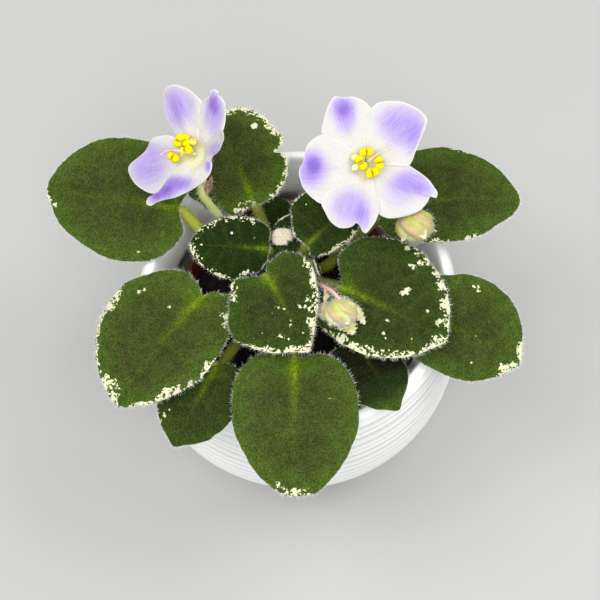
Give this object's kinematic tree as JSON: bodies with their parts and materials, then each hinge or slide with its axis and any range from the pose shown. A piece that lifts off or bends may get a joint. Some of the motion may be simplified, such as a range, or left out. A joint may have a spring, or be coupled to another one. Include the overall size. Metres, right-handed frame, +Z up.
{
  "type": "potted african violet",
  "caption": "African violet with heart-shaped leaves, open five-petalled flowers and buds, in a nursery pot inside a round-bellied ribbed ceramic pot.",
  "frame": {"origin": "centre of the ceramic pot's flat foot, on the surface that it stands on", "axes": "+Z up, +X to the viewer's right, -Y towards the front, where the longest leaf hangs over the lip"},
  "size_m": [0.1554, 0.1291, 0.1262],
  "materials": {
    "white_ceramic": "satin",
    "brown_plastic": "satin",
    "potting_soil": "matte",
    "leaf": "matte",
    "young_leaf": "matte",
    "pale_leaf": "matte",
    "stalk": "matte",
    "petal": "matte",
    "anther": "matte",
    "style": "matte"
  },
  "bodies": {
    "root": {"ceramic_pot": "white_ceramic", "nursery_pot": "brown_plastic", "soil": "potting_soil", "crown": "stalk", "leaf_back_left": "leaf", "leaf_back": "leaf", "leaf_small_left": "leaf", "leaf_small_right": "leaf", "leaf_centre": "leaf", "leaf_right": "leaf", "leaf_back_right": "leaf", "leaf_front_right": "leaf", "leaf_front": "leaf", "leaf_front_left": "leaf", "leaf_low_left": "leaf", "leaf_low_right": "leaf", "young_leaf_shaded": "young_leaf", "young_leaf_folded": "young_leaf", "young_leaf_pale": "pale_leaf", "young_leaf_edge": "leaf", "flower_left_stalk": "stalk", "flower_left_corolla": "petal", "flower_left_anthers": "anther", "flower_left_style": "style", "flower_right_stalk": "stalk", "flower_right_corolla": "petal", "flower_right_anthers": "anther", "flower_right_style": "style", "bud_front": "stalk"}
  },
  "joints": []
}
